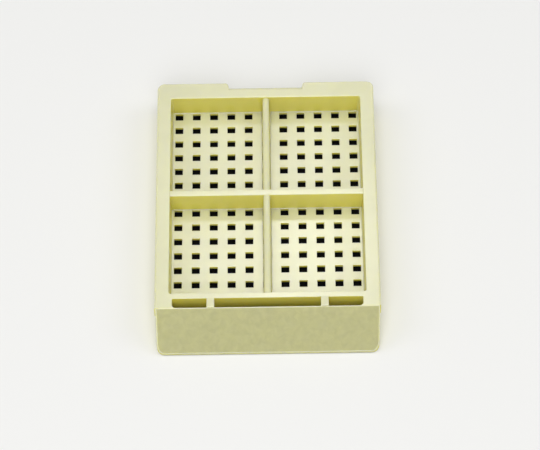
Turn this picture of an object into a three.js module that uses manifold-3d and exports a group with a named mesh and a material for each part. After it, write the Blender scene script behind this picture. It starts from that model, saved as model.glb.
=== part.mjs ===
// Base of a four-compartment tissue cassette, moulded in one piece of yellow acetal.
// Millimetres, +Z up, +X to the right. The sloping writing panel faces -Y and the latch
// notch faces +Y. The origin is where the cassette stands, under the middle of its outline.

import * as THREE from "three";
import {
  mergeGeometries,
  mergeVertices,
  toCreasedNormals,
} from "three/addons/utils/BufferGeometryUtils.js";
import Module from "manifold-3d";

const wasm = await Module();
wasm.setup();

const degrees = Math.PI / 180;

// Overall sizes
const width = 28.62; // across the rim
const length = 40.63; // from the toe of the writing panel to the back of the rim
const height = 4.5; // from the surface it stands on to the rim

// Rim, a low flange round the sides and back of the tray
const rimDepth = 1.9; // how far its lip reaches down
const rimSideReach = 0.11; // how far it stands out from the side walls
const rimBackReach = 1.12; // and from the back wall, where the lid's latch grips it
const rimRadius = 0.25; // rounding of its outer edges
const cornerRadius = 0.95; // corners of the outline in plan

// Walls and floor
const sideWall = 1.79; // at the rim, lip included
const backWall = 1.5; // without the rim's reach
const frontWall = 0.87;
const floorThickness = 0.5;
const floorRecess = 0.9; // the walls stand this far below the floor
const recessReach = 0.75; // how far the recess under the floor goes on, under the back wall
const outerDraft = 2.2 * degrees; // the sides lean in towards the base
const innerDraft = 3.5 * degrees; // and so do the tray's side faces, inside
const endDraft = 1 * degrees; // front and back faces
const innerCorner = 0.3; // upright corners inside the tray
const footRadius = 0.1; // where the walls meet the floor
const edgeRadius = 0.15; // along the sides of the panel and the base

// Dividers
const dividerDrop = 0.2; // their tops lie this far below the rim
const dividerDraft = 1.2 * degrees;
const dividerRadius = 0.12; // rounding along their tops
const crossDivider = 0.92; // thickness under the rounding, across the tray
const crossDividerShift = 0.21; // behind the middle of the tray
const longDivider = 0.88; // thickness, from back to front
const longDividerShift = 0.03; // to the right of the middle row of holes

// Drain holes in the floor
const holeWidth = 1.0;
const holePitchX = 2.3;
const holePitchY = 2.285;
const holeDraft = 12 * degrees; // they widen downwards
const holeMargin = 0.08; // least floor between a hole and a wall

// Writing panel, with the slot behind it that takes the lid's hooks
const panelSlope = 45 * degrees;
const panelWall = 1.0;
const panelToe = 0.28; // height of the upright edge at its foot
const hookSlot = 1.4; // from the front wall to the panel's top edge
const hookSlotEnd = 0.43; // the slot ends this far short of the tray's sides
const hookSlotRadius = 0.5; // corners of the slot beside the panel
const ribWidth = 1.0;
const ribSpacing = 14.45; // between the middles of the two ribs

// Latch notch in the back of the rim
const notchWidth = 9.6; // at its root
const notchFlare = 0.2; // how much it opens out on each side
const notchDepth = 1.1; // below the rim, down to the catch bar

// Places that follow from the sizes above
const backY = length / 2;
const toeY = -length / 2;
const backFaceY = backY - rimBackReach;
const trayBackY = backFaceY - backWall;
const panelTopY = toeY + (height - panelToe) / Math.tan(panelSlope);
const slotBackY = panelTopY + hookSlot;
const trayFrontY = slotBackY + frontWall;
const floorTop = floorRecess + floorThickness;
const trayDepth = height - floorTop;
const bodyHalf = width / 2 - rimSideReach; // half width of the walls at the rim's height
const trayTopHalf = width / 2 - sideWall;
const trayFootHalf = trayTopHalf - trayDepth * Math.tan(innerDraft);
const crossDividerY = (trayBackY + trayFrontY) / 2 + crossDividerShift;
const dividerTop = height - dividerDrop;
const toeRoom = panelToe / (1 + Math.tan(panelSlope / 2)); // largest radius that the toe has room for
const sideRadius = Math.min(edgeRadius, 0.9 * toeRoom);
const overrun = 1; // how far a cutter reaches past the surface that it opens

const arcSteps = 8; // segments of a corner in plan
const roundSteps = 3; // segments in the rounding of an edge

// A closed geometry as a manifold-3d solid.
function solid(geometry) {
  const bare = geometry.clone().deleteAttribute("normal").deleteAttribute("uv");
  const merged = mergeVertices(bare, 1e-4);
  return new wasm.Manifold(
    new wasm.Mesh({
      numProp: 3,
      vertProperties: new Float32Array(merged.attributes.position.array),
      triVerts: new Uint32Array(merged.index.array),
    }),
  );
}

// A rectangle with its corners rounded: one radius at the low y, one at the high y. No radius leaves them square.
function roundedRectangle(x0, x1, y0, y1, lowRadius, highRadius = lowRadius) {
  const corners = [
    [x1 - lowRadius, y0 + lowRadius, lowRadius],
    [x1 - highRadius, y1 - highRadius, highRadius],
    [x0 + highRadius, y1 - highRadius, highRadius],
    [x0 + lowRadius, y0 + lowRadius, lowRadius],
  ];
  const points = corners.flatMap(([x, y, radius], i) => {
    const start = ((i - 1) * Math.PI) / 2;
    const arc = new THREE.EllipseCurve(x, y, radius, radius, start, start + Math.PI / 2);
    return radius > 0 ? arc.getPoints(arcSteps) : [new THREE.Vector2(x, y)];
  });
  return new THREE.Shape(points);
}

// A straight-edged shape through the given corners.
function polygon(corners) {
  return new THREE.Shape(corners.map(([x, y]) => new THREE.Vector2(x, y)));
}

// A shape extruded between two distances, with its two ends' edges rounded where a radius is given.
function extrude(shape, from, to, radius = 0) {
  const geometry = new THREE.ExtrudeGeometry(shape, {
    depth: to - from - 2 * radius,
    curveSegments: roundSteps,
    bevelEnabled: radius > 0,
    bevelThickness: radius,
    bevelSize: radius,
    bevelOffset: -radius,
    bevelSegments: roundSteps,
  });
  return geometry.translate(0, 0, from + radius);
}

// An extrusion turned so that its shape lies in the Y-Z plane and its length along X.
function alongX(geometry) {
  const toX = new THREE.Matrix4().makeBasis(
    new THREE.Vector3(0, 1, 0),
    new THREE.Vector3(0, 0, 1),
    new THREE.Vector3(1, 0, 0),
  );
  return geometry.applyMatrix4(toX);
}

// An extrusion turned so that its shape lies in the X-Z plane and its length along -Y.
function alongY(geometry) {
  return geometry.rotateX(Math.PI / 2);
}

// Leans the upright faces of a geometry: each side moves out by its draft's tangent times the height above z0.
function drafted(geometry, z0, draftX, draftY, middleY = 0) {
  const place = geometry.attributes.position;
  for (let i = 0; i < place.count; i++) {
    const rise = place.getZ(i) - z0;
    const sideX = Math.sign(place.getX(i));
    const sideY = Math.sign(place.getY(i) - middleY);
    place.setX(i, place.getX(i) + sideX * rise * Math.tan(draftX));
    place.setY(i, place.getY(i) + sideY * rise * Math.tan(draftY));
  }
  return geometry;
}

// The walls' outside: the rounded outline in plan, met with the side view that has the sloping panel.
function makeWalls() {
  const outline = roundedRectangle(-bodyHalf, bodyHalf, toeY, backFaceY, cornerRadius);
  const plan = extrude(outline, 0, height, edgeRadius);
  const sideView = polygon([
    [toeY, 0],
    [backFaceY + overrun, 0],
    [backFaceY + overrun, height],
    [panelTopY, height],
    [toeY, panelToe],
  ]);
  const lengthwise = alongX(extrude(sideView, -bodyHalf, bodyHalf, sideRadius));
  drafted(plan, height, outerDraft, 0);
  drafted(lengthwise, height, outerDraft, 0);
  return solid(plan).intersect(solid(lengthwise));
}

// The rim's lip, cut square where the writing panel begins.
function makeRim() {
  const hidden = panelTopY - 2 * cornerRadius;
  const outline = roundedRectangle(-width / 2, width / 2, hidden, backY, cornerRadius);
  const panelSide = new THREE.BoxGeometry(width + overrun, 4 * cornerRadius, 2 * rimDepth);
  panelSide.translate(0, panelTopY - 2 * cornerRadius, height - rimDepth / 2);
  return solid(extrude(outline, height - rimDepth, height, rimRadius))
    .subtract(solid(panelSide))
    .subtract(makeNotch());
}

// The latch notch, open at the top and the back. The rim left under it is the catch bar.
function makeNotch() {
  const innerY = backFaceY - edgeRadius;
  const outerY = backY + overrun;
  const halfAt = (y) => notchWidth / 2 + (notchFlare * (y - backFaceY)) / rimBackReach;
  const outline = polygon([
    [-halfAt(innerY), innerY],
    [halfAt(innerY), innerY],
    [halfAt(outerY), outerY],
    [-halfAt(outerY), outerY],
  ]);
  return solid(extrude(outline, height - notchDepth, height + overrun));
}

// The outline of the tray's floor, lengthened at the back where a reach is given.
function floorOutline(reach = 0) {
  return roundedRectangle(
    -trayFootHalf,
    trayFootHalf,
    trayFrontY,
    trayBackY + reach,
    innerCorner,
  );
}

// The open inside of the tray, from the floor up.
function makeTray() {
  const inside = extrude(floorOutline(), floorTop, height + overrun, footRadius);
  const middleY = (trayFrontY + trayBackY) / 2;
  return solid(drafted(inside, floorTop, innerDraft, endDraft, middleY));
}

// The shallow recess under the floor.
function makeFloorRecess() {
  return solid(extrude(floorOutline(recessReach), -overrun, floorRecess));
}

// The slot for the lid's hooks, open from the rim down into the hollow behind the panel.
function makeHookSlot() {
  const half = trayFootHalf - hookSlotEnd;
  const outline = roundedRectangle(-half, half, panelTopY, slotBackY, hookSlotRadius, 0);
  return solid(drafted(extrude(outline, floorTop, height + overrun), floorTop, innerDraft, 0));
}

// The hollow behind the writing panel, open at the base.
function makePanelHollow() {
  const ceiling = height - panelWall / Math.cos(panelSlope);
  const frontY = panelTopY - (ceiling + overrun) / Math.tan(panelSlope);
  const sideView = polygon([
    [frontY, -overrun],
    [slotBackY, -overrun],
    [slotBackY, ceiling],
    [panelTopY, ceiling],
  ]);
  return solid(alongX(extrude(sideView, -trayFootHalf, trayFootHalf)));
}

// Square holes on a grid centred on the cross divider. The middle column runs under the long divider.
function makeHoles() {
  const edge = holeWidth / 2 + holeMargin;
  const columns = Math.floor((trayFootHalf - footRadius - edge) / holePitchX);
  const backRows = Math.floor((trayBackY - footRadius - crossDividerY - edge) / holePitchY + 0.5);
  const frontRows = Math.floor((crossDividerY - trayFrontY - footRadius - edge) / holePitchY + 0.5);
  const pinTop = floorTop + footRadius / 2;
  const pinLength = pinTop + overrun;
  const holes = [];
  for (let column = -columns; column <= columns; column++) {
    for (let row = -frontRows; row < backRows; row++) {
      const hole = new THREE.BoxGeometry(holeWidth, holeWidth, pinLength);
      hole.translate(0, 0, pinTop - pinLength / 2);
      drafted(hole, floorTop, -holeDraft, -holeDraft);
      hole.translate(column * holePitchX, crossDividerY + (row + 0.5) * holePitchY, 0);
      holes.push(hole);
    }
  }
  return solid(mergeGeometries(holes));
}

// Section of a divider standing on the floor: sides that lean in as they rise, and a rounded top.
function dividerSection(middle, thickness) {
  const top = thickness / 2;
  const radius = Math.min(dividerRadius, 0.9 * top);
  const foot = top + (dividerTop - floorTop) * Math.tan(dividerDraft);
  const root = floorTop - floorThickness / 2;
  const shape = new THREE.Shape();
  shape.moveTo(middle - foot, root);
  shape.lineTo(middle + foot, root);
  shape.lineTo(middle + foot, floorTop);
  shape.absarc(middle + top - radius, dividerTop - radius, radius, 0, Math.PI / 2);
  shape.absarc(middle - top + radius, dividerTop - radius, radius, Math.PI / 2, Math.PI);
  shape.lineTo(middle - foot, floorTop);
  return shape;
}

// The two dividers that cross in the tray, each run halfway into the walls at its ends.
function makeDividers() {
  const crossHalf = trayTopHalf + sideWall / 2;
  const across = extrude(dividerSection(crossDividerY, crossDivider), -crossHalf, crossHalf);
  const fromBack = -(trayBackY + backWall / 2);
  const toFront = -(trayFrontY - frontWall / 2);
  const along = extrude(dividerSection(longDividerShift, longDivider), fromBack, toFront);
  return solid(alongX(across)).add(solid(alongY(along)));
}

// The ribs that bridge the slot and go on as webs behind the panel.
function makeRibs(walls) {
  const webDepth = slotBackY + frontWall / 2 - toeY;
  const webs = [-1, 1].map((side) => {
    const web = new THREE.BoxGeometry(ribWidth, webDepth, height);
    return web.translate(
      (side * ribSpacing) / 2,
      toeY + webDepth / 2,
      floorRecess + height / 2,
    );
  });
  return walls.intersect(solid(mergeGeometries(webs)));
}

// The whole moulding.
function makeCassette() {
  const walls = makeWalls();
  return walls
    .add(makeRim())
    .subtract(makeTray())
    .subtract(makeFloorRecess())
    .subtract(makeHookSlot())
    .subtract(makePanelHollow())
    .add(makeDividers())
    .add(makeRibs(walls))
    .subtract(makeHoles());
}

// A solid as a drawable geometry, smooth over the roundings and sharp at the edges.
function toGeometry(made) {
  const { vertProperties, triVerts, numProp } = made.getMesh();
  const geometry = new THREE.BufferGeometry();
  geometry.setAttribute("position", new THREE.BufferAttribute(vertProperties, numProp));
  geometry.setIndex(new THREE.BufferAttribute(triVerts, 1));
  return toCreasedNormals(geometry, 35 * degrees);
}

const acetal = new THREE.MeshStandardMaterial({
  color: 0xe1dd96,
  roughness: 0.5,
  metalness: 0,
});

const cassetteBase = new THREE.Mesh(toGeometry(makeCassette()), acetal);
cassetteBase.name = "cassette_base";

const group = new THREE.Group();
group.add(cassetteBase);

export default group;
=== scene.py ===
# Base of a tissue cassette, moulded in one piece of yellow acetal.
# Metres, +Z up. The sloping writing panel faces -Y and the latch notch faces +Y.
# The moulding is modelled in millimetres, about the same origin, and brought to metres at its end.

import math

import bmesh
import bpy
from mathutils import Matrix, Vector


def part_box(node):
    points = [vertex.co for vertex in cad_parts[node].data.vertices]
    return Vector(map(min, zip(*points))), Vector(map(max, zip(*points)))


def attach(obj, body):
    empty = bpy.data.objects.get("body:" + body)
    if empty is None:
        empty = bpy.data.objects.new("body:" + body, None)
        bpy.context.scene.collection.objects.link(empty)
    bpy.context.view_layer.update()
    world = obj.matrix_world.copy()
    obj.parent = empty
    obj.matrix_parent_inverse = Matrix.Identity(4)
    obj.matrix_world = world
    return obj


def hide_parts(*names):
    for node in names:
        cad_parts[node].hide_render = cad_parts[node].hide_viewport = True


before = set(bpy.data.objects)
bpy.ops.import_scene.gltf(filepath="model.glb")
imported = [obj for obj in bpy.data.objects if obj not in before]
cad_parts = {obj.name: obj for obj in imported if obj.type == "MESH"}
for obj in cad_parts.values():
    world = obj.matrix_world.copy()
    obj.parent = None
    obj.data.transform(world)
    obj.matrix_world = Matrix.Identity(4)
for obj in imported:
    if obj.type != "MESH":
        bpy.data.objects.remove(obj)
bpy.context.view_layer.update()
mm = 0.001
low, high = [[v / mm for v in corner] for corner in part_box("cassette_base")]
print("frame loaded")

hair = 0.004  # keeps two faces of different solids from lying in one plane
clear = 1  # how far a cutter reaches past the moulding, so that it cuts right through


# Modelling tools

def deselectAll():
    if bpy.context.object and bpy.context.object.mode == "EDIT":
        bpy.ops.object.mode_set(mode="OBJECT")
    bpy.ops.object.select_all(action="DESELECT")


def makeActive(piece):
    deselectAll()
    piece.select_set(True)
    bpy.context.view_layer.objects.active = piece


def addBlock(name, x, y, z):  # each span runs from its low end to its high end
    deselectAll()
    middle = [(start + end) / 2 for start, end in (x, y, z)]
    spans = [end - start for start, end in (x, y, z)]
    bpy.ops.mesh.primitive_cube_add(size=1, location=middle, scale=spans)
    bpy.ops.object.transform_apply(location=True, rotation=True, scale=True)
    block = bpy.context.object
    block.name = name
    return block


def pick(piece, kind, test):  # selects the vertices, edges or faces whose place passes a test
    makeActive(piece)
    bpy.ops.object.mode_set(mode="EDIT")
    bpy.ops.mesh.select_mode(type=kind)
    bpy.ops.mesh.select_all(action="DESELECT")
    mesh = bmesh.from_edit_mesh(piece.data)
    if kind == "VERT":
        for vertex in mesh.verts:
            vertex.select_set(test(vertex.co))
    elif kind == "EDGE":
        for edge in mesh.edges:
            edge.select_set(test(edge.verts[0].co, edge.verts[1].co))
    else:
        for face in mesh.faces:
            face.select_set(test(face.calc_center_median(), face.normal))
    bmesh.update_edit_mesh(piece.data)


def leaveEditing():
    bpy.ops.object.mode_set(mode="OBJECT")


def near(a, b):  # the same place, to within a hair
    return abs(a - b) < hair


def level(z):  # edges that lie at one height
    return lambda a, b: near(a.z, z) and near(b.z, z)


def upright(a, b):  # edges over 0.3 mm tall that lean by less than 1 in 5
    rise, run = abs(a.z - b.z), math.hypot(a.x - b.x, a.y - b.y)
    return rise > 0.3 and run < 0.2 * rise


def lean(drop, degrees):  # how far a drafted face leans over a drop
    return drop * math.tan(math.radians(degrees))


def scaleLoop(middle, x, y):  # brings what is picked in or out from a middle point
    bpy.ops.transform.resize(value=(x, y, 1), center_override=(middle[0], middle[1], 0))


def roundEdges(piece, test, radius, segments):
    pick(piece, "EDGE", test)
    bpy.ops.mesh.bevel(
        offset=radius, segments=segments, profile=0.5, affect="EDGES", clamp_overlap=False
    )
    leaveEditing()


def cutOff(piece, place, normal):  # removes what lies on the normal's side of a plane
    pick(piece, "FACE", lambda centre, facing: True)
    bpy.ops.mesh.bisect(
        plane_co=place, plane_no=normal, use_fill=True, clear_outer=True, threshold=0.0005
    )
    leaveEditing()


def combine(piece, tool, operation):  # a boolean that uses its tool up
    makeActive(piece)
    modifier = piece.modifiers.new("combine", "BOOLEAN")
    modifier.operation = operation
    modifier.solver = "EXACT"
    modifier.object = tool
    bpy.ops.object.modifier_apply(modifier=modifier.name)
    bpy.data.objects.remove(tool)


# Walls, rim and floor, in millimetres and degrees
moulding = {
    "rimDepth": 1.9,
    "rimSideReach": 0.11,
    "rimBackReach": 1.12,
    "rimRounding": 0.25,
    "cornerRadius": 0.95,
    "edgeRounding": 0.15,
    "outerDraft": 2.2,
    "sideWall": 1.79,
    "backWall": 1.5,
    "frontWall": 0.87,
    "hookSlot": 1.4,
    "panelToe": 0.28,
    "innerDraft": 3.5,
    "endDraft": 1.0,
    "innerCorner": 0.3,
    "footRounding": 0.12,
    "mouthRounding": 0.12,
    "floorThickness": 0.5,
    "floorRecess": 0.9,
    "recessReach": 0.75,
}

halfWidth, backY, height = high
toeY = low[1]
floorTop = moulding["floorRecess"] + moulding["floorThickness"]
backFaceY = backY - moulding["rimBackReach"]
trayBackY = backFaceY - moulding["backWall"]
panelTopY = toeY + height - moulding["panelToe"]  # the panel slopes at 45 degrees
slotBackY = panelTopY + moulding["hookSlot"]
trayFrontY = slotBackY + moulding["frontWall"]
bodyHalf = halfWidth - moulding["rimSideReach"]
trayTopHalf = halfWidth - moulding["sideWall"]
trayFootHalf = trayTopHalf - lean(height - floorTop, moulding["innerDraft"])


def makeWalls():
    walls = addBlock(
        "cassetteMoulding", (-bodyHalf, bodyHalf), (toeY, backFaceY), (0, height - hair)
    )
    pick(walls, "VERT", lambda v: near(v.z, 0))
    scaleLoop((0, 0), 1 - lean(height, moulding["outerDraft"]) / bodyHalf, 1)
    roundEdges(walls, upright, moulding["cornerRadius"], segments=8)
    cutOff(walls, (0, panelTopY, height), (0, -1, 1))
    makeActive(walls)
    bevel = walls.modifiers.new("edges", "BEVEL")
    bevel.width = moulding["edgeRounding"]
    bevel.segments = 3
    bevel.limit_method = "ANGLE"
    bevel.angle_limit = math.radians(30)
    bevel.use_clamp_overlap = False
    bpy.ops.object.modifier_apply(modifier=bevel.name)
    return walls


# Latch notch in the back of the rim
notch = {"width": 9.6, "flare": 0.2, "depth": 1.1, "corner": 0.3, "barRounding": 0.25}


def makeNotch():  # the cutter for the latch notch, which opens out towards the back
    half = notch["width"] / 2
    behind = backY + hair
    cutter = addBlock(
        "notch",
        (-half, half),
        (backFaceY + hair, behind),
        (height - notch["depth"], height + clear),
    )
    pick(cutter, "VERT", lambda v: v.y > backY)
    scaleLoop((0, 0), 1 + notch["flare"] / half, 1)
    pick(cutter, "FACE", lambda centre, facing: facing.y > 0.9)
    bpy.ops.mesh.extrude_region_move()
    brim = 1.3  # wider behind the rim, so that the corners of the mouth can be rounded
    scaleLoop((0, 0), brim, 1)
    bpy.ops.mesh.extrude_region_move(TRANSFORM_OT_translate={"value": (0, clear, 0)})
    leaveEditing()
    mouth = half + notch["flare"]
    roundEdges(
        cutter,
        lambda a, b: upright(a, b) and near(a.y, behind) and near(abs(a.x), mouth),
        notch["corner"],
        segments=6,
    )
    return cutter


def makeRim():
    foot, barTop = height - moulding["rimDepth"], height - notch["depth"]
    rim = addBlock("rim", (-halfWidth, halfWidth), (panelTopY, backY), (foot, height))
    combine(rim, makeNotch(), "DIFFERENCE")
    roundEdges(
        rim,
        lambda a, b: upright(a, b) and near(a.y, backY) and near(abs(a.x), halfWidth),
        moulding["cornerRadius"],
        segments=8,
    )
    frontEnd = panelTopY + hair  # the rim stays square there
    roundEdges(
        rim,
        lambda a, b: (level(height)(a, b) or level(foot)(a, b)) and max(a.y, b.y) > frontEnd,
        moulding["rimRounding"],
        segments=4,
    )
    roundEdges(
        rim,
        lambda a, b: level(barTop)(a, b) and near(a.y, backY) and near(b.y, backY),
        notch["barRounding"],
        segments=3,
    )
    return rim


def makePocket(name, x, y, bottom, draftX, draftY, corners, foot, mouth):
    # a cutter with rounded upright edges and foot, and a brim that rounds the edge of its mouth;
    # corners gives each radius, with a test on y that says which upright edges get it
    top = height + hair
    middle = ((x[0] + x[1]) / 2, (y[0] + y[1]) / 2)
    spanX, spanY = x[1] - x[0], y[1] - y[0]
    pocket = addBlock(name, x, y, (bottom, top))
    pick(pocket, "VERT", lambda v: near(v.z, bottom))
    depth = top - bottom
    scaleLoop(middle, 1 - 2 * lean(depth, draftX) / spanX, 1 - 2 * lean(depth, draftY) / spanY)
    for atCorner, radius in corners:
        roundEdges(pocket, lambda a, b: upright(a, b) and atCorner(a.y), radius, segments=6)
    if foot:
        roundEdges(pocket, level(bottom), foot, segments=3)
    pick(pocket, "FACE", lambda centre, facing: near(centre.z, top))
    bpy.ops.mesh.extrude_region_move()
    brim = 3 * mouth  # wide enough for the rounding to end on
    scaleLoop(middle, 1 + 2 * brim / spanX, 1 + 2 * brim / spanY)
    bpy.ops.mesh.extrude_region_move(TRANSFORM_OT_translate={"value": (0, 0, clear)})
    leaveEditing()

    def atMouth(v):
        inX = x[0] - hair < v.x < x[1] + hair
        return inX and y[0] - hair < v.y < y[1] + hair and near(v.z, top)

    roundEdges(pocket, lambda a, b: atMouth(a) and atMouth(b), mouth, segments=3)
    return pocket


def makeTray():
    leaning = lean(height - floorTop, moulding["endDraft"])
    return makePocket(
        "tray",
        x=(-trayTopHalf, trayTopHalf),
        y=(trayFrontY - leaning, trayBackY + leaning),
        bottom=floorTop,
        draftX=moulding["innerDraft"],
        draftY=moulding["endDraft"],
        corners=[(lambda y: True, moulding["innerCorner"])],
        foot=moulding["footRounding"],
        mouth=moulding["mouthRounding"],
    )


def makeRecess():  # under the floor, and a little under the back wall
    recess = addBlock(
        "recess",
        (-trayFootHalf, trayFootHalf),
        (trayFrontY, trayBackY + moulding["recessReach"]),
        (-clear, moulding["floorRecess"]),
    )
    roundEdges(recess, upright, moulding["innerCorner"], segments=4)
    roundEdges(recess, level(moulding["floorRecess"]), moulding["footRounding"], segments=2)
    return recess


# Writing panel, the slot behind it for the lid's hooks, and the ribs that bridge the slot
panel = {
    "wall": 1.0,
    "slotEnd": 0.43,
    "slotCorner": 0.5,
    "slotBackCorner": 0.15,
    "slotRounding": 0.08,
    "hollowRounding": 0.15,
    "hollowHeadroom": 0.4,  # under the slot, above the hollow's top behind the panel
    "ribWidth": 1.0,
    "ribSpacing": 14.45,
}


def makeHookSlot():
    half = trayFootHalf - panel["slotEnd"] + lean(height - floorTop, moulding["innerDraft"])
    return makePocket(
        "hookSlot",
        x=(-half, half),
        y=(panelTopY, slotBackY),
        bottom=floorTop,
        draftX=moulding["innerDraft"],
        draftY=0,
        corners=[
            (lambda y: near(y, panelTopY), panel["slotCorner"]),
            (lambda y: near(y, slotBackY), panel["slotBackCorner"]),
        ],
        foot=0,
        mouth=panel["slotRounding"],
    )


def makePanelHollow():
    ceiling = height - panel["wall"] * math.sqrt(2)
    hollow = addBlock(
        "hollow",
        (-trayFootHalf, trayFootHalf),
        (toeY - 2 * clear, slotBackY - hair),
        (-clear, ceiling + panel["hollowHeadroom"]),
    )
    cutOff(hollow, (0, panelTopY, ceiling), (0, -1, 1))
    roundEdges(
        hollow,
        lambda a, b: near(a.x, b.x) and max(a.z, b.z) > 0,
        panel["hollowRounding"],
        segments=2,
    )
    return hollow


def makeRib(middle):
    half = panel["ribWidth"] / 2
    top = height - hair
    rib = addBlock(
        "rib",
        (middle - half, middle + half),
        (toeY, slotBackY + moulding["frontWall"] / 2),
        (moulding["floorRecess"], top),
    )
    cutOff(rib, (0, panelTopY, top - hair), (0, -1, 1))
    roundEdges(
        rib,
        lambda a, b: near(a.x, b.x) and level(top)(a, b),
        panel["slotRounding"],
        segments=2,
    )
    return rib


# Dividers, as thick as given under the rounding of their tops
dividers = {
    "drop": 0.2,
    "draft": 1.2,
    "footRounding": 0.12,
    "cross": 0.92,
    "crossRounding": 0.12,
    "crossShift": 0.21,
    "long": 0.88,
    "longRounding": 0.42,
    "longShift": 0.03,
}

crossY = (trayBackY + trayFrontY) / 2 + dividers["crossShift"]
dividerTop = height - dividers["drop"]


def makeDivider(name, across, middle, ends, half, rounding, lower):
    # a wall with a rounded top, on a foot that rounds its corners with the floor
    top, root = dividerTop - lower, floorTop - hair - lower
    leaning = lean(top - root, dividers["draft"])
    side = (middle - half, middle + half)
    x, y = (ends, side) if across else (side, ends)

    def widen(factor):
        if across:
            scaleLoop((0, middle), 1, factor)
        else:
            scaleLoop((middle, 0), factor, 1)

    def alongSide(a, b, z, reach):  # edges at a height and at a reach from the divider's middle
        fromMiddle = [(v.y if across else v.x) - middle for v in (a, b)]
        return level(z)(a, b) and near(*fromMiddle) and near(abs(fromMiddle[0]), reach)

    divider = addBlock(name, x, y, (root, top))
    pick(divider, "VERT", lambda v: near(v.z, root))
    widen(1 + leaning / half)
    leaveEditing()
    roundEdges(divider, lambda a, b: alongSide(a, b, top, half), rounding, segments=5)
    foot = half + leaning
    pick(divider, "FACE", lambda centre, facing: near(centre.z, root))
    bpy.ops.mesh.extrude_region_move()
    widen(1 + 2 * dividers["footRounding"] / foot)
    sunk = 0.2  # into the floor
    bpy.ops.mesh.extrude_region_move(TRANSFORM_OT_translate={"value": (0, 0, -sunk)})
    leaveEditing()
    roundEdges(
        divider,
        lambda a, b: alongSide(a, b, root, foot),
        dividers["footRounding"],
        segments=3,
    )
    return divider


# Drain holes, which widen downwards by their draft
drainHoles = {
    "width": 1.0,
    "pitchX": 2.3,
    "pitchY": 2.285,
    "columns": 11,
    "rows": 14,
    "draft": 12,
    "corner": 0.12,
    "mouthRounding": 0.05,
}


def makePins():  # the pins that leave the holes, one modelled and then set out on the grid
    half, rounding = drainHoles["width"] / 2, drainHoles["mouthRounding"]
    length = 0.8  # right through the floor and out below it
    top, foot = floorTop + hair, floorTop - length
    pin = addBlock("pins", (-half, half), (-half, half), (foot, top))
    pick(pin, "VERT", lambda v: near(v.z, foot))
    grown = 1 + lean(top - foot, drainHoles["draft"]) / half
    scaleLoop((0, 0), grown, grown)
    roundEdges(pin, upright, drainHoles["corner"], segments=2)
    pick(pin, "FACE", lambda centre, facing: near(centre.z, top))
    bpy.ops.mesh.extrude_region_move()
    brim = 1 + 1.3 * rounding / half  # a little wider than the rounding of the mouth
    scaleLoop((0, 0), brim, brim)
    head = 0.04  # low, so that it cuts the long divider's foot no further than it must
    bpy.ops.mesh.extrude_region_move(TRANSFORM_OT_translate={"value": (0, 0, head)})
    leaveEditing()

    def atMouth(v):
        return max(abs(v.x), abs(v.y)) < half + hair and near(v.z, top)

    roundEdges(pin, lambda a, b: atMouth(a) and atMouth(b), rounding, segments=2)
    makeActive(pin)
    columns, pitchX = drainHoles["columns"], drainHoles["pitchX"]
    rows, pitchY = drainHoles["rows"], drainHoles["pitchY"]
    for count, step in ((columns, (pitchX, 0, 0)), (rows, (0, pitchY, 0))):
        array = pin.modifiers.new("grid", "ARRAY")
        array.count = count
        array.use_relative_offset = False
        array.use_constant_offset = True
        array.constant_offset_displace = step
        bpy.ops.object.modifier_apply(modifier=array.name)
    startX = -(columns - 1) / 2 * pitchX
    startY = crossY - (rows - 1) / 2 * pitchY
    bpy.ops.transform.translate(value=(startX, startY, 0))
    bpy.ops.object.transform_apply(location=True, rotation=True, scale=True)
    return pin


def makeMoulding():
    body = makeWalls()
    combine(body, makeRim(), "UNION")
    combine(body, makeTray(), "DIFFERENCE")
    combine(body, makeHookSlot(), "DIFFERENCE")
    combine(body, makeRecess(), "DIFFERENCE")
    combine(body, makePanelHollow(), "DIFFERENCE")
    print("shell and openings modelled")
    side = trayTopHalf + moulding["sideWall"] / 2
    front, back = trayFrontY - moulding["frontWall"] / 2, trayBackY + moulding["backWall"] / 2
    cross = makeDivider(
        "crossDivider",
        across=True,
        middle=crossY,
        ends=(-side, side),
        half=dividers["cross"] / 2,
        rounding=dividers["crossRounding"],
        lower=0,
    )
    along = makeDivider(
        "longDivider",
        across=False,
        middle=dividers["longShift"],
        ends=(front, back),
        half=dividers["long"] / 2,
        rounding=dividers["longRounding"],
        lower=hair / 2,  # so that the two share no plane
    )
    combine(body, cross, "UNION")
    combine(body, along, "UNION")
    for turn in (-1, 1):
        combine(body, makeRib(turn * panel["ribSpacing"] / 2), "UNION")
    print("dividers and ribs modelled")
    combine(body, makePins(), "DIFFERENCE")
    print("drain holes modelled")
    return body


cassette = makeMoulding()


def finishMoulding(piece):  # brings it to metres and shades its roundings smooth
    makeActive(piece)
    piece.scale = (mm, mm, mm)
    bpy.ops.object.transform_apply(location=True, rotation=True, scale=True)
    smoothAngle = 32  # degrees, just over one step of a rounding in three steps
    bpy.ops.object.shade_smooth_by_angle(angle=math.radians(smoothAngle))
    weighted = piece.modifiers.new("weighted", "WEIGHTED_NORMAL")
    weighted.keep_sharp = True
    weighted.weight = 60  # lets the large flat faces stay flat
    bpy.ops.object.modifier_apply(modifier=weighted.name)


finishMoulding(cassette)
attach(cassette, "root")
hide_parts("cassette_base")
print("moulding finished")


# Materials

def linear(hexColour):
    parts = [int(hexColour[i:i + 2], 16) / 255 for i in (1, 3, 5)]
    return [p / 12.92 if p <= 0.04045 else ((p + 0.055) / 1.055) ** 2.4 for p in parts] + [1]


def addNode(tree, kind, settings, inputs):  # an input is given a value or another node's output
    node = tree.nodes.new(kind)
    for name, value in settings.items():
        setattr(node, name, value)
    for name, value in inputs.items():
        if isinstance(value, bpy.types.NodeSocket):
            tree.links.new(value, node.inputs[name])
        else:
            node.inputs[name].default_value = value
    return node


def newMaterial(name):
    material = bpy.data.materials.new(name)
    material.use_nodes = True
    material.node_tree.nodes.clear()
    return material


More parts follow.
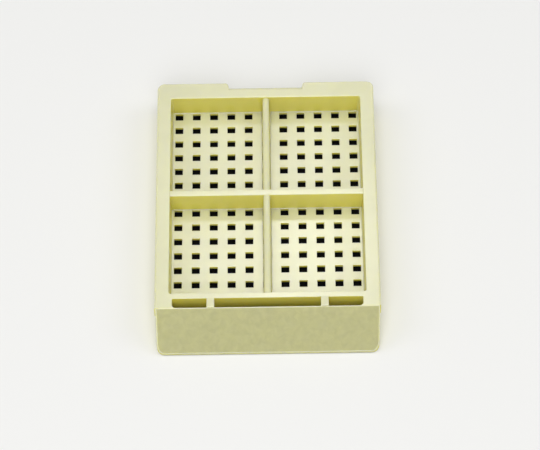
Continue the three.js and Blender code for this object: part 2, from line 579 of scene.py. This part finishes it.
# Acetal straight from a polished mould: satin and a little milky. Level faces are painted paler,
# a painted sheen, and upright faces a deeper yellow, painted shade in the colour of light that has
# come through the walls. Faint streaks show where the melt flowed.
mouldedAcetal = {
    # the colour of level faces: pale, with a painted sheen
    "colour": "#d9d8b2",
    # painted shade: the deeper yellow of upright faces
    "uprightPaintedShadeColour": "#e2db70",
    "streakSize": 5.0,  # mm between the flow streaks of the melt
    "streakDepth": 0.06,
    "roughness": 0.2,
    "roughnessChange": 0.03,
    "grain": 0.35,  # mm between ripples of the skin, coarser than the real ones so that they show
    "grainDepth": 0.0012,  # mm
    "scatter": 0.8,  # mm
}

# Acetal from a spark-eroded mould: the panel's face has a fine matt grain that holds pencil and
# print. It gets no painted sheen, so it looks darker and greyer than level faces, with a faint
# mottle.
grainedAcetal = {
    # no painted shade here: the panel's upright faces keep its own colour
    "colour": "#bdbb80",
    "uprightPaintedShadeColour": "#bdbb80",
    "streakSize": 0.8,  # mm, coarser than the real mottle so that it shows
    "streakDepth": 0.12,
    "roughness": 0.55,
    "roughnessChange": 0.05,
    "grain": 0.3,  # mm, about twice the real grain so that it shows
    "grainDepth": 0.004,  # mm
    "scatter": 0.8,  # mm
}

acetalIor = 1.6  # a little above acetal's own 1.48, for the sheen of its skin
acetalGlow = (1.0, 0.95, 0.4)  # how much further red and green light travel inside it than blue


def makeAcetal(name, finish):
    material = newMaterial(name)
    tree = material.node_tree
    place = addNode(tree, "ShaderNodeTexCoord", {}, {})
    facing = addNode(tree, "ShaderNodeSeparateXYZ", {}, {0: place.outputs["Normal"]})
    rise = addNode(tree, "ShaderNodeMath", {"operation": "ABSOLUTE"}, {0: facing.outputs["Z"]})
    # painted light: picks the painted sheen on level faces and the painted shade on upright ones
    paintedLightMask = addNode(  # 0 on an upright face and 1 on a level one
        tree,
        "ShaderNodeMapRange",
        {"interpolation_type": "SMOOTHSTEP"},
        {"Value": rise.outputs["Value"], "From Min": 0.05, "From Max": 0.5},
    )
    # the acetal's colour, with the painted sheen and the painted shade mixed in
    body = addNode(
        tree,
        "ShaderNodeMix",
        {"data_type": "RGBA"},
        {
            0: paintedLightMask.outputs["Result"],
            6: linear(finish["uprightPaintedShadeColour"]),
            7: linear(finish["colour"]),
        },
    )
    streaks = addNode(
        tree,
        "ShaderNodeTexNoise",
        {},
        {
            "Vector": place.outputs["Object"],
            "Scale": 1 / (finish["streakSize"] * mm),
            "Detail": 3,
            "Distortion": 0.6,
        },
    )
    shade = addNode(  # noise seldom leaves the span from 0.3 to 0.7
        tree,
        "ShaderNodeMapRange",
        {},
        {
            "Value": streaks.outputs["Fac"],
            "From Min": 0.3,
            "From Max": 0.7,
            "To Min": 1 - finish["streakDepth"],
            "To Max": 1,
        },
    )
    colour = addNode(
        tree,
        "ShaderNodeVectorMath",
        {"operation": "SCALE"},
        {0: body.outputs[2], "Scale": shade.outputs["Result"]},
    )
    grain = addNode(
        tree,
        "ShaderNodeTexNoise",
        {},
        {
            "Vector": place.outputs["Object"],
            "Scale": 1 / (finish["grain"] * mm),
            "Detail": 2,
        },
    )
    roughness = addNode(
        tree,
        "ShaderNodeMapRange",
        {},
        {
            "Value": grain.outputs["Fac"],
            "To Min": finish["roughness"] - finish["roughnessChange"],
            "To Max": finish["roughness"] + finish["roughnessChange"],
        },
    )
    bump = addNode(
        tree,
        "ShaderNodeBump",
        {},
        {"Height": grain.outputs["Fac"], "Distance": finish["grainDepth"] * mm},
    )
    shader = addNode(
        tree,
        "ShaderNodeBsdfPrincipled",
        {},
        {
            "Base Color": colour.outputs["Vector"],
            "Roughness": roughness.outputs["Result"],
            "Normal": bump.outputs["Normal"],
            "IOR": acetalIor,
            "Subsurface Weight": 1,
            "Subsurface Scale": finish["scatter"] * mm,
            "Subsurface Radius": acetalGlow,
        },
    )
    addNode(tree, "ShaderNodeOutputMaterial", {}, {"Surface": shader.outputs["BSDF"]})
    return material


def finishPanel(piece):  # gives the sloping face its own finish
    rise = (moulding["panelToe"] - toeY) * mm  # z - y, all over the 45 degree face
    tolerance = 0.02 * mm

    def onPanel(centre, facing):
        return abs(centre.z - centre.y - rise) < tolerance and min(-facing.y, facing.z) > 0.7

    pick(piece, "FACE", onPanel)
    piece.active_material_index = 1
    bpy.ops.object.material_slot_assign()
    leaveEditing()


cassette.data.materials.append(makeAcetal("mouldedAcetal", mouldedAcetal))
cassette.data.materials.append(makeAcetal("grainedAcetal", grainedAcetal))
finishPanel(cassette)
print("acetal made")


# Stage, in metres
stage = {
    "floorSize": 1.2,
    "floorDrop": 0.02 * mm,  # below the foot, so that the two don't share a plane
    "floorColour": "#e6e6e4",
    "floorGlow": 0.06,
    "cardMargin": 0.8 * mm,  # how far inside the foot of the walls the card ends
    # painted shade, seen through the holes and the slot
    "paintedShadeCardColour": "#15161a",
}


def seenLevel(tree, unseen, seen):  # one level where light falls, another where it is looked at
    path = addNode(tree, "ShaderNodeLightPath", {}, {})
    rays = path.outputs["Is Camera Ray"]
    for kind in ("Is Glossy Ray", "Is Transmission Ray"):
        more = addNode(
            tree, "ShaderNodeMath", {"operation": "MAXIMUM"}, {0: rays, 1: path.outputs[kind]}
        )
        rays = more.outputs["Value"]
    strength = addNode(
        tree, "ShaderNodeMapRange", {}, {"Value": rays, "To Min": unseen, "To Max": seen}
    )
    return strength.outputs["Result"]


def makeMatt(name, colour, glow):  # uncoated paper with no sheen, lightened for the eye by a glow
    material = newMaterial(name)
    tree = material.node_tree
    shader = addNode(
        tree,
        "ShaderNodeBsdfPrincipled",
        {},
        {
            "Base Color": linear(colour),
            "Roughness": 0.9,
            "Specular IOR Level": 0.2,
            "Emission Color": linear("#ffffff"),
            "Emission Strength": seenLevel(tree, 0, glow) if glow else 0,
        },
    )
    addNode(tree, "ShaderNodeOutputMaterial", {}, {"Surface": shader.outputs["BSDF"]})
    return material


def makeSheet(name, size, middle, material):
    deselectAll()
    bpy.ops.mesh.primitive_plane_add(size=1, location=middle)
    sheet = bpy.context.object
    sheet.name = name
    sheet.scale = (size[0], size[1], 1)
    bpy.ops.object.transform_apply(location=True, rotation=True, scale=True)
    sheet.data.materials.append(material)


def makeStage():
    span = (stage["floorSize"], stage["floorSize"])
    pale = makeMatt("palePaper", stage["floorColour"], stage["floorGlow"])
    makeSheet("floor", span, (0, 0, -stage["floorDrop"]), pale)
    # painted shade: a dark sheet under the tray, where only shade falls; it shows through the
    # holes and slot
    foot, margins = bodyHalf - lean(height, moulding["outerDraft"]), 2 * stage["cardMargin"]
    size = (2 * foot * mm - margins, (backFaceY - toeY) * mm - margins)
    middle = (0, (backFaceY + toeY) / 2 * mm, -stage["floorDrop"] / 2)
    makeSheet("paintedShadeSheet", size, middle, makeMatt("paintedShadeCard", stage["paintedShadeCardColour"], 0))


makeStage()
print("stage set")


# Camera and lights, in metres, degrees, millimetres of lens and watts, each placed by its bearing
# from the cassette: azimuth 0 is in front of the panel, and 90 is to the right
view = {
    "aim": (0.38 * mm, 0.473 * mm, -0.656 * mm),
    "azimuth": 0.495,
    "elevation": 53.489,
    "roll": -1.252,
    "distance": 0.4,
    "lens": 204.27,
}

lamps = {
    "rearSoftbox": {"azimuth": 179.2, "elevation": 55, "size": 0.052, "power": 0.082},
    "frontFill": {"azimuth": -4, "elevation": 42, "size": 0.35, "power": 0.97},
    "topFill": {"azimuth": 180, "elevation": 85, "size": 0.35, "power": 0.78},
    "leftFill": {"azimuth": -100, "elevation": 42, "size": 0.3, "power": 0.4},
    "rightFill": {"azimuth": 100, "elevation": 42, "size": 0.3, "power": 0.4},
}

lampDistance = 0.5
domeStrength = 0.3


def bearing(azimuth, elevation):
    a, e = math.radians(azimuth), math.radians(elevation)
    return Vector((math.sin(a) * math.cos(e), -math.cos(a) * math.cos(e), math.sin(e)))


def lookBack(direction):  # the turn of a camera or lamp that stands in a direction and faces back
    return (-direction).to_track_quat("-Z", "Y").to_matrix().to_4x4()


def makeCamera():
    data = bpy.data.cameras.new("camera")
    data.lens = view["lens"]
    data.sensor_width = 36
    data.clip_start = 0.01
    data.clip_end = 10
    camera = bpy.data.objects.new("camera", data)
    bpy.context.scene.collection.objects.link(camera)
    direction = bearing(view["azimuth"], view["elevation"])
    roll = Matrix.Rotation(math.radians(view["roll"]), 4, "Z")
    place = Matrix.Translation(Vector(view["aim"]) + view["distance"] * direction)
    camera.matrix_world = place @ lookBack(direction) @ roll
    bpy.context.scene.camera = camera


def makeLamp(name, lamp):
    data = bpy.data.lights.new(name, "AREA")
    data.shape = "DISK"
    data.size = lamp["size"]
    data.energy = lamp["power"]
    light = bpy.data.objects.new(name, data)
    bpy.context.scene.collection.objects.link(light)
    direction = bearing(lamp["azimuth"], lamp["elevation"])
    light.matrix_world = Matrix.Translation(direction * lampDistance) @ lookBack(direction)


def makeDome(strength):  # lights the cassette softly from all round, and shows as plain white
    world = bpy.data.worlds.new("dome")
    bpy.context.scene.world = world
    world.use_nodes = True
    tree = world.node_tree
    tree.nodes.clear()
    background = addNode(
        tree,
        "ShaderNodeBackground",
        {},
        {"Color": linear("#ffffff"), "Strength": seenLevel(tree, strength, 1)},
    )
    addNode(tree, "ShaderNodeOutputWorld", {}, {"Surface": background.outputs["Background"]})


makeCamera()
for name, lamp in lamps.items():
    makeLamp(name, lamp)
makeDome(domeStrength)
bpy.context.scene.view_settings.view_transform = "Standard"
print("camera and lights placed")
